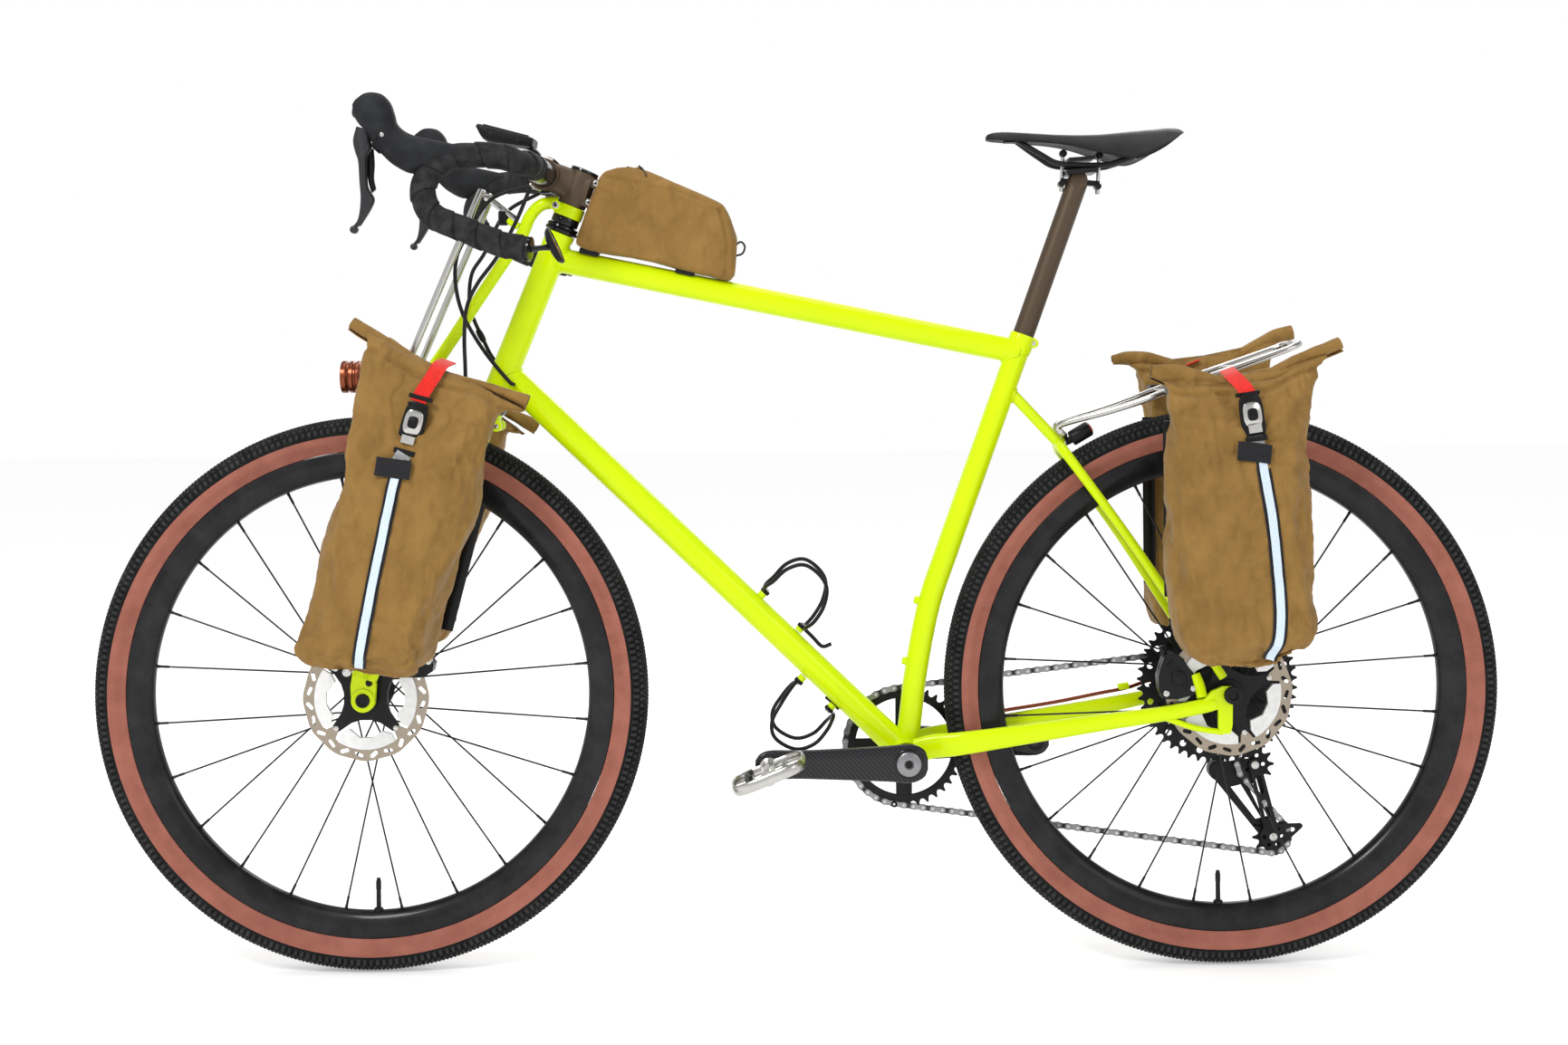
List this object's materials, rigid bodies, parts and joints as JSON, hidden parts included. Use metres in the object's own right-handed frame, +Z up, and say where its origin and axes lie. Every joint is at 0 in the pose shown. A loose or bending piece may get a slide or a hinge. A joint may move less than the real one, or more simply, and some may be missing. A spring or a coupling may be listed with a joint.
{
  "type": "touring bicycle",
  "caption": "Loaded drop-bar touring bicycle with disc brakes, a truss fork, front and rear racks, side bags, a frame bag and a wide-range derailleur drive.",
  "frame": {"origin": "on the ground, midway between the two axles and in the mid plane of the wheels", "axes": "+X towards the rear of the bicycle, +Y towards the drive side, +Z up"},
  "size_m": [1.804, 0.4942, 1.1059],
  "materials": {
    "lime_paint": "gloss lime-green paint",
    "black_rubber": "matt black",
    "tyre_rubber": "knobbly black tread, tan sidewall",
    "black_gloss": "gloss black",
    "black_satin": "black anodised",
    "black_plastic": "matt black",
    "steel": "bright steel",
    "dark_steel": "grey steel",
    "polished": "polished stainless",
    "bronze": "dark bronze anodised",
    "copper_brown": "copper-brown anodised",
    "cable_black": "black cable jacket",
    "copper_jacket": "copper-brown cable jacket",
    "olive_fabric": "olive-tan waxed cloth",
    "saddle_cover": "black cover"
  },
  "bodies": {
    "frame": {"head_tube": "lime_paint", "top_tube": "lime_paint", "down_tube": "lime_paint", "seat_tube": "lime_paint", "chainstay_left": "lime_paint", "chainstay_right": "lime_paint", "seatstays": "lime_paint", "headset_upper_cup": "black_satin", "headset_lower_cup": "black_satin", "seatpost": "bronze", "saddle_rails": "black_satin", "saddle": "saddle_cover", "rear_rack": "polished", "taillight": "black_gloss", "rear_pannier_left": "olive_fabric", "rear_pannier_right": "olive_fabric", "top_tube_bag": "olive_fabric", "bottle_cage_upper": "black_satin", "bottle_cage_lower": "black_satin", "rear_caliper": "black_satin", "rear_axle": "black_satin", "derailleur_body": "black_satin", "chain": "dark_steel", "derailleur_cable": "copper_jacket"},
    "steering": {"fork": "lime_paint", "fork_strut": "lime_paint", "stem": "bronze", "handlebar": "black_rubber", "hood_left": "black_rubber", "hood_right": "black_rubber", "bike_computer": "black_gloss", "front_rack": "polished", "headlamp": "copper_brown", "front_pannier_left": "olive_fabric", "front_pannier_right": "olive_fabric", "front_caliper": "black_satin", "front_axle": "black_satin", "front_brake_hose": "cable_black", "rear_brake_hose": "cable_black", "shift_cable": "cable_black"},
    "bar_mirror": {"mirror": "black_gloss"},
    "front_wheel": {"front_tyre": "tyre_rubber", "front_rim": "black_gloss", "front_hub": "black_satin", "front_rotor": "steel"},
    "rear_wheel": {"rear_tyre": "tyre_rubber", "rear_rim": "black_gloss", "rear_hub": "black_satin", "rear_rotor": "steel"},
    "sprockets": {"cassette": "steel"},
    "crankset": {"crank_right": "black_gloss", "chainring": "black_satin", "crank_left": "black_gloss"},
    "left_pedal": {"pedal_left": "dark_steel"},
    "right_pedal": {"pedal_right": "dark_steel"},
    "left_lever": {"brake_lever_left": "black_satin"},
    "right_lever": {"brake_lever_right": "black_satin"},
    "cage": {"derailleur_cage": "black_satin"},
    "upper_jockey": {"jockey_upper": "black_plastic"},
    "lower_jockey": {"jockey_lower": "black_plastic"}
  },
  "joints": [
    {"name": "steer", "type": "hinge", "parent": "frame", "child": "steering", "pos_m": [-0.2983, 0, 0.9458], "axis": [0.3791, 0, 0.9254], "range_deg": [-30, 30], "deforming": ["rear_brake_hose", "shift_cable"]},
    {"name": "front_wheel_spin", "type": "hinge", "parent": "steering", "child": "front_wheel", "pos_m": [-0.546, 0, 0.356], "axis": [0, 1, 0], "continuous": true},
    {"name": "rear_wheel_spin", "type": "hinge", "parent": "frame", "child": "rear_wheel", "pos_m": [0.546, 0, 0.356], "axis": [0, 1, 0], "continuous": true},
    {"name": "crank_spin", "type": "hinge", "parent": "frame", "child": "crankset", "pos_m": [0.1404, 0, 0.2726], "axis": [0, 1, 0], "continuous": true, "deforming": ["chain"]},
    {"name": "sprocket_spin", "type": "hinge", "parent": "frame", "child": "sprockets", "pos_m": [0.546, 0, 0.356], "axis": [0, 1, 0], "continuous": true},
    {"name": "left_pedal_spin", "type": "hinge", "parent": "crankset", "child": "left_pedal", "pos_m": [-0.0346, -0.12, 0.2726], "axis": [0, 1, 0], "continuous": true},
    {"name": "right_pedal_spin", "type": "hinge", "parent": "crankset", "child": "right_pedal", "pos_m": [0.3154, 0.12, 0.2726], "axis": [0, 1, 0], "continuous": true},
    {"name": "cage_swing", "type": "hinge", "parent": "frame", "child": "cage", "pos_m": [0.554, 0.0415, 0.236], "axis": [0, 1, 0], "range_deg": [-15, 30], "stiffness_Nm_per_rad": 0.8},
    {"name": "upper_jockey_spin", "type": "hinge", "parent": "cage", "child": "upper_jockey", "pos_m": [0.598, 0.0415, 0.246], "axis": [0, 1, 0], "continuous": true},
    {"name": "lower_jockey_spin", "type": "hinge", "parent": "cage", "child": "lower_jockey", "pos_m": [0.621, 0.0415, 0.152], "axis": [0, 1, 0], "continuous": true},
    {"name": "left_lever_pull", "type": "hinge", "parent": "steering", "child": "left_lever", "pos_m": [-0.497, -0.2, 1.052], "axis": [0, -1, 0], "range_deg": [0, 20], "stiffness_Nm_per_rad": 0.4},
    {"name": "right_lever_pull", "type": "hinge", "parent": "steering", "child": "right_lever", "pos_m": [-0.497, 0.2, 1.052], "axis": [0, -1, 0], "range_deg": [0, 20], "stiffness_Nm_per_rad": 0.4},
    {"name": "mirror_tilt", "type": "hinge", "parent": "steering", "child": "bar_mirror", "pos_m": [-0.3075, -0.232, 0.914], "axis": [0, 1, 0], "range_deg": [-20, 20]}
  ],
  "couplings": [
    {"joint": "sprocket_spin", "follows": "crank_spin", "ratio": 1.8095},
    {"joint": "upper_jockey_spin", "follows": "crank_spin", "ratio": -3.4545},
    {"joint": "lower_jockey_spin", "follows": "crank_spin", "ratio": 3.4545}
  ]
}
